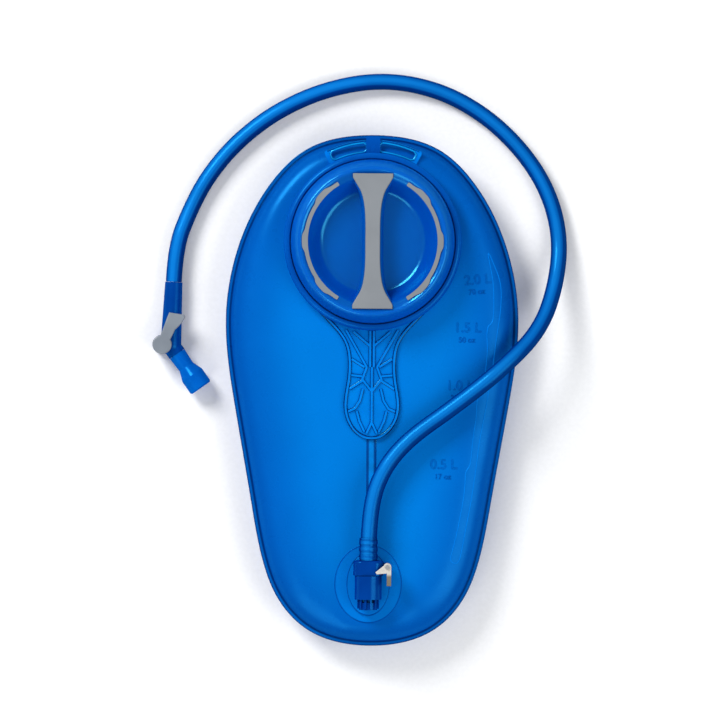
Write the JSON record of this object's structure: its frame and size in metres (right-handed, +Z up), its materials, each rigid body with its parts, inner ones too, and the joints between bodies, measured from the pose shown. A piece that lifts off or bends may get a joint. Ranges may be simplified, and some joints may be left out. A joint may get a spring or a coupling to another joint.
{
  "type": "hydration bladder",
  "caption": "Soft drinking-water bladder for a hiking pack, lying on its back, with a twist-off fill cap, hang slots, quick-release hose, shutoff valve and bite valve.",
  "frame": {"origin": "on the floor under the middle of the bag, which lies on its back", "axes": "+Z up out of the front film, +Y along the bag towards the fill-port end, +X to the right when the fill port is at the top"},
  "size_m": [0.2585, 0.3572, 0.0568],
  "materials": {
    "blue_film": "flexible translucent blue film",
    "blue_plastic": "smooth moulded",
    "dark_blue_plastic": "smooth moulded",
    "clear_plastic": "clear flexible sheet",
    "grey_grip": "soft-touch overmould",
    "blue_tube": "flexible translucent tubing",
    "bite_rubber": "soft silicone",
    "seal_rubber": "matt",
    "spring_steel": "drawn wire"
  },
  "bodies": {
    "bag": {"front_film": "blue_film", "back_film": "blue_film", "center_baffle": "blue_film", "port_base_plate": "clear_plastic", "port_hanger": "clear_plastic", "fill_port_ring": "blue_plastic", "port_center_tab": "blue_plastic", "outlet_base_plate": "blue_film", "outlet_port_body": "dark_blue_plastic", "outlet_spring": "spring_steel"},
    "cap_lift": {"cap_seal": "seal_rubber"},
    "cap": {"cap_shell": "blue_plastic", "cap_inner_plug": "blue_plastic", "cap_grip_bar": "grey_grip", "cap_grip_arc_right": "grey_grip", "cap_grip_arc_left": "grey_grip"},
    "poppet": {"outlet_poppet": "dark_blue_plastic"},
    "connector": {"connector_body": "dark_blue_plastic", "connector_o_ring": "seal_rubber", "release_lever_pin": "spring_steel", "release_spring": "spring_steel", "drink_hose": "blue_tube", "hose_collar": "dark_blue_plastic", "shutoff_body": "blue_plastic"},
    "release_lever": {"connector_release_lever": "grey_grip"},
    "shutoff": {"shutoff_lever": "grey_grip", "shutoff_spindle": "dark_blue_plastic", "spindle_o_rings": "seal_rubber"},
    "bite": {"bite_valve": "bite_rubber"}
  },
  "joints": [
    {"name": "cap_rise", "type": "slide", "parent": "bag", "child": "cap_lift", "axis": [0, 0, 1], "range_m": [0, 0.0241]},
    {"name": "cap_turn", "type": "hinge", "parent": "cap_lift", "child": "cap", "pos_m": [0, 0.0922, 0.0455], "axis": [0, 0, 1], "range_deg": [0, 360]},
    {"name": "poppet_slide", "type": "slide", "parent": "bag", "child": "poppet", "axis": [0, 1, 0], "range_m": [0, 0.0041]},
    {"name": "connector_pull", "type": "slide", "parent": "bag", "child": "connector", "axis": [0, 1, 0], "range_m": [0, 0.02]},
    {"name": "release_lever_press", "type": "hinge", "parent": "connector", "child": "release_lever", "pos_m": [0.0103, -0.1088, 0.045], "axis": [0, 0, 1], "range_deg": [-7, 0], "stiffness_Nm_per_rad": 0.02},
    {"name": "shutoff_turn", "type": "hinge", "parent": "connector", "child": "shutoff", "pos_m": [-0.1309, 0.0279, 0.0078], "axis": [0, 0, 1], "range_deg": [0, 90]},
    {"name": "bite_pull", "type": "slide", "parent": "connector", "child": "bite", "axis": [0.5812, -0.8137, 0], "range_m": [0, 0.02]}
  ],
  "couplings": [
    {"joint": "cap_rise", "follows": "cap_turn", "m_per_rad": 0.0038197},
    {"joint": "poppet_slide", "follows": "connector_pull", "ratio": 0.2}
  ]
}
